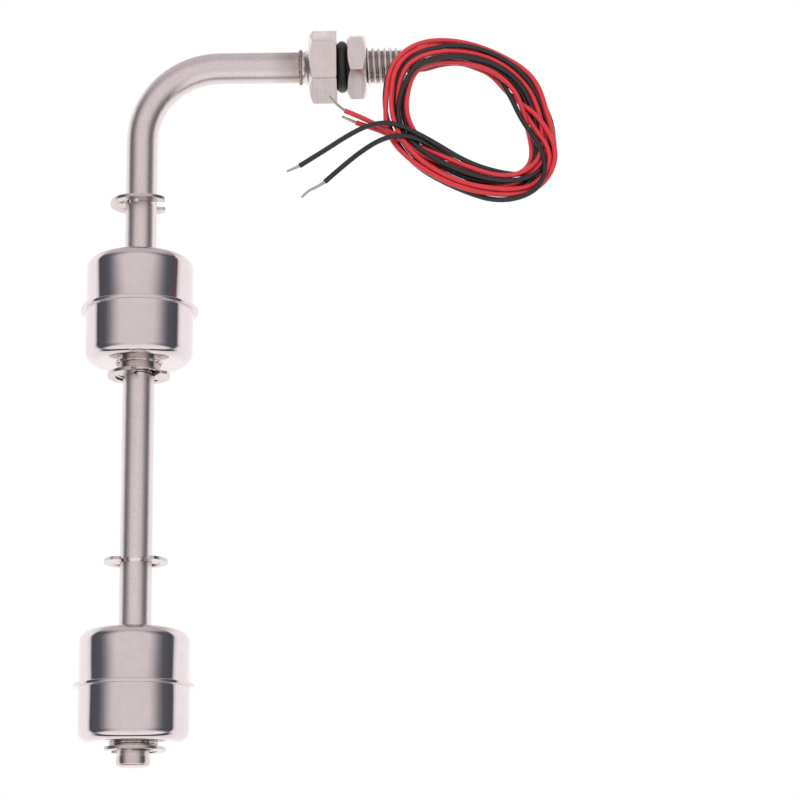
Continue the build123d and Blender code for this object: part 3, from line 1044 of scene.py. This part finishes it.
wires = {}
for wire, lead in lead_routes.items():
    route = list(lead)
    for count, (outwards, depth) in enumerate(coil_places[wire]):
        number = (first_corner + count) % len(coil_corners)
        corner = Vector(coil_corners[number])
        after = Vector(coil_corners[(number + 1) % len(coil_corners)])
        ahead = (after - Vector(coil_corners[number - 1])).normalized()
        spot = corner + outwards * Vector((-ahead.y, ahead.x))
        route.append((spot.x, depth, spot.y))
    route += tail_routes[wire]
    wires[wire] = new_line(f"{wire}_wire", route)
    wires[wire].data.bevel_depth = wire_diameter / 2
    wires[wire].data.bevel_resolution = 5
    wires[wire].data.use_fill_caps = True
    colour = wire.split("_")[0]
    wires[wire].data.materials.append(vinyl[colour])
    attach(wires[wire], "switch")
    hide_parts(f"{wire}_wire_lead", f"{wire}_wire_tail", "wire_coil")

# Bared end of each wire: seven fine tinned strands, twisted together by hand
# and drawn out to a thin, bent tip.
strand_count = 7
strand_diameter = 0.28 * mm
twist_pitch = 2.6 * mm
gathered_at_tip = 0.3
thinner_at_tip = 0.2
fewest_points = 12
straight_steps = 14
tip_routes = {
    "red_1": [(2.2, -9.3, -15.7), (0.2, -9.2, -14.2), (-1.8, -9.2, -11.6)],
    "black_1": [(-9.4, -10.8, -31.0), (-12.6, -10.7, -32.4)],
    "red_2": [(5.0, -8.3, -18.6), (3.0, -8.3, -17.6), (1.4, -8.3, -16.9)],
    "black_2": [
        (-3.0, -10.9, -35.4),
        (-5.0, -10.9, -36.8),
        (-7.2, -10.9, -37.6),
        (-8.8, -10.9, -39.4),
    ],
}
for wire, tip in tip_routes.items():
    core = new_line(f"{wire}_core", tip)
    core.data.resolution_u = 12
    bpy.context.view_layer.update()
    track = bpy.data.meshes.new_from_object(core)
    middle_line = [vert.co.copy() for vert in track.vertices]
    bpy.data.objects.remove(core)
    if len(middle_line) < fewest_points:
        start, end = middle_line[0], middle_line[-1]
        middle_line = [start.lerp(end, k / straight_steps) for k in range(straight_steps + 1)]
    last = len(middle_line) - 1
    strands = bpy.data.curves.new(f"{wire}_strands", "CURVE")
    strands.dimensions = "3D"
    strands.bevel_depth = strand_diameter / 2
    strands.bevel_resolution = 2
    strands.use_fill_caps = True
    for number in range(strand_count):
        spline = strands.splines.new("POLY")
        spline.points.add(last)
        walked = 0
        for k, spot in enumerate(middle_line):
            if k:
                walked += (spot - middle_line[k - 1]).length
            ahead = (middle_line[min(k + 1, last)] - middle_line[max(k - 1, 0)]).normalized()
            side_way = ahead.cross(Vector((0, 1, 0))).normalized()
            other_way = ahead.cross(side_way)
            share = k / last
            angle = 2 * pi * (number / (strand_count - 1) + walked / twist_pitch)
            away = strand_diameter * (1 - gathered_at_tip * share) if number else 0
            place = spot + away * (cos(angle) * side_way + sin(angle) * other_way)
            spline.points[k].co = (*place, 1)
            spline.points[k].radius = 1 - thinner_at_tip * share
    bundle = bpy.data.objects.new(f"{wire}_strands", strands)
    bpy.context.scene.collection.objects.link(bundle)
    strands.materials.append(tinned_copper)
    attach(bundle, "switch")
    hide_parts(f"{wire}_wire_tip")

# White studio. The camera sees plain white all round. Polished steel sees pale
# grey in front and above, dark blue-grey walls at the sides, white behind, and
# below it a white table with one dark edge.
table_from = -0.45
table_full = -0.75
ceiling_from = 0.55
ceiling_full = 0.9
world = bpy.data.worlds.new("white_studio")
bpy.context.scene.world = world
world.use_nodes = True
tree = world.node_tree
tree.nodes.clear()
way = add_node(tree, "ShaderNodeTexCoord").outputs["Generated"]
split = add_node(tree, "ShaderNodeSeparateXYZ", {"Vector": way})
behind = add_node(
    tree, "ShaderNodeMapRange", {"Value": split.outputs["Y"], "From Min": -1, "From Max": 1}
)
wall_stops = [
    (0.0, "E2DCDC"),
    (0.1, "DDD7D7"),
    (0.17, "BAB6B8"),
    (0.24, "86868B"),
    (0.32, "585C63"),
    (0.52, "4C4F55"),
    (0.56, "E0DCDD"),
    (0.62, "FFFCFD"),
]
table_stops = [
    (0.0, "C4C0C0"),
    (0.2, "F0ECEC"),
    (0.42, "FFFCFD"),
    (0.5, "F0ECEC"),
    (0.54, "343336"),
    (0.63, "343336"),
    (0.67, "F0ECEC"),
    (1.0, "FFFCFD"),
]
ramps = []
for stops in (wall_stops, table_stops):
    ramp = add_node(tree, "ShaderNodeValToRGB", {"Fac": behind.outputs["Result"]})
    elements = ramp.color_ramp.elements
    for number, (stop, colour) in enumerate(stops):
        element = elements[number] if number < 2 else elements.new(stop)
        element.position = stop
        element.color = linear(colour)
    ramps.append(ramp.outputs["Color"])
walls, table = ramps
below = add_node(
    tree,
    "ShaderNodeMapRange",
    {"Value": split.outputs["Z"], "From Min": table_from, "From Max": table_full},
    interpolation_type="SMOOTHSTEP",
)
above = add_node(
    tree,
    "ShaderNodeMapRange",
    {"Value": split.outputs["Z"], "From Min": ceiling_from, "From Max": ceiling_full},
    interpolation_type="SMOOTHSTEP",
)
walls_and_table = add_node(
    tree,
    "ShaderNodeMix",
    {0: below.outputs["Result"], 6: walls, 7: table},
    data_type="RGBA",
)
seen_in_steel = add_node(
    tree,
    "ShaderNodeMix",
    {0: above.outputs["Result"], 6: walls_and_table.outputs[2], 7: linear("C8C0C4")},
    data_type="RGBA",
)
rays = add_node(tree, "ShaderNodeLightPath")
plain_white = add_node(
    tree,
    "ShaderNodeMath",
    {0: rays.outputs["Is Camera Ray"], 1: rays.outputs["Is Transmission Ray"]},
    operation="MAXIMUM",
)
soft_light = add_node(tree, "ShaderNodeBackground", {"Color": linear("FFFFFF"), "Strength": 0.62})
reflections = add_node(
    tree, "ShaderNodeBackground", {"Color": seen_in_steel.outputs[2], "Strength": 1.2}
)
backdrop = add_node(tree, "ShaderNodeBackground", {"Color": linear("FFFFFF"), "Strength": 1})
inner = add_node(
    tree,
    "ShaderNodeMixShader",
    {
        0: rays.outputs["Is Glossy Ray"],
        1: soft_light.outputs["Background"],
        2: reflections.outputs["Background"],
    },
)
outer = add_node(
    tree,
    "ShaderNodeMixShader",
    {
        0: plain_white.outputs["Value"],
        1: inner.outputs["Shader"],
        2: backdrop.outputs["Background"],
    },
)
add_node(tree, "ShaderNodeOutputWorld", {"Surface": outer.outputs["Shader"]})

# Two soft lamps, one high on the left in front and one low on the right, and a
# plain pale floor under the switch, which looks nearly white to the camera.
lamps_aim = Vector((0, 0, -0.06))
floor_z = -0.35
floor_reach = 4
whitened = 0.7
for name, spot, size, power in (
    ("key_lamp", (-0.45, -0.75, 0.55), 0.7, 5.0),
    ("fill_lamp", (0.7, -0.6, -0.1), 0.9, 2.0),
):
    lamp = bpy.data.objects.new(name, bpy.data.lights.new(name, "AREA"))
    lamp.data.size = size
    lamp.data.energy = power
    lamp.location = spot
    lamp.rotation_mode = "QUATERNION"
    lamp.rotation_quaternion = (lamps_aim - Vector(spot)).to_track_quat("-Z", "Y")
    lamp.visible_glossy = False
    bpy.context.scene.collection.objects.link(lamp)

pale_floor, tree = new_material("pale_floor")
place = add_node(tree, "ShaderNodeTexCoord").outputs["Object"]
paper = add_node(tree, "ShaderNodeTexNoise", {"Vector": place, "Scale": 0.9 / mm, "Detail": 2})
surface = add_node(
    tree,
    "ShaderNodeMix",
    {0: paper.outputs["Fac"], 6: linear("F4F3F2"), 7: linear("FAF9F8")},
    data_type="RGBA",
)
card = add_node(
    tree, "ShaderNodeBsdfPrincipled", {"Base Color": surface.outputs[2], "Roughness": 0.9}
)
lit_card = add_node(tree, "ShaderNodeEmission", {"Color": linear("FFFFFF"), "Strength": 1})
rays = add_node(tree, "ShaderNodeLightPath")
seen = add_node(
    tree, "ShaderNodeMath", {0: rays.outputs["Is Camera Ray"], 1: whitened}, operation="MULTIPLY"
)
lifted = add_node(
    tree,
    "ShaderNodeMixShader",
    {0: seen.outputs["Value"], 1: card.outputs["BSDF"], 2: lit_card.outputs["Emission"]},
)
add_node(tree, "ShaderNodeOutputMaterial", {"Surface": lifted.outputs["Shader"]})
bm = bmesh.new()
bmesh.ops.create_grid(bm, x_segments=2, y_segments=2, size=floor_reach)
bmesh.ops.translate(bm, verts=bm.verts, vec=(0, 0, floor_z))
mesh = bpy.data.meshes.new("floor")
bm.to_mesh(mesh)
bm.free()
mesh.materials.append(pale_floor)
floor = bpy.data.objects.new("floor", mesh)
floor.visible_glossy = False
bpy.context.scene.collection.objects.link(floor)

bpy.context.scene.view_settings.view_transform = "Standard"
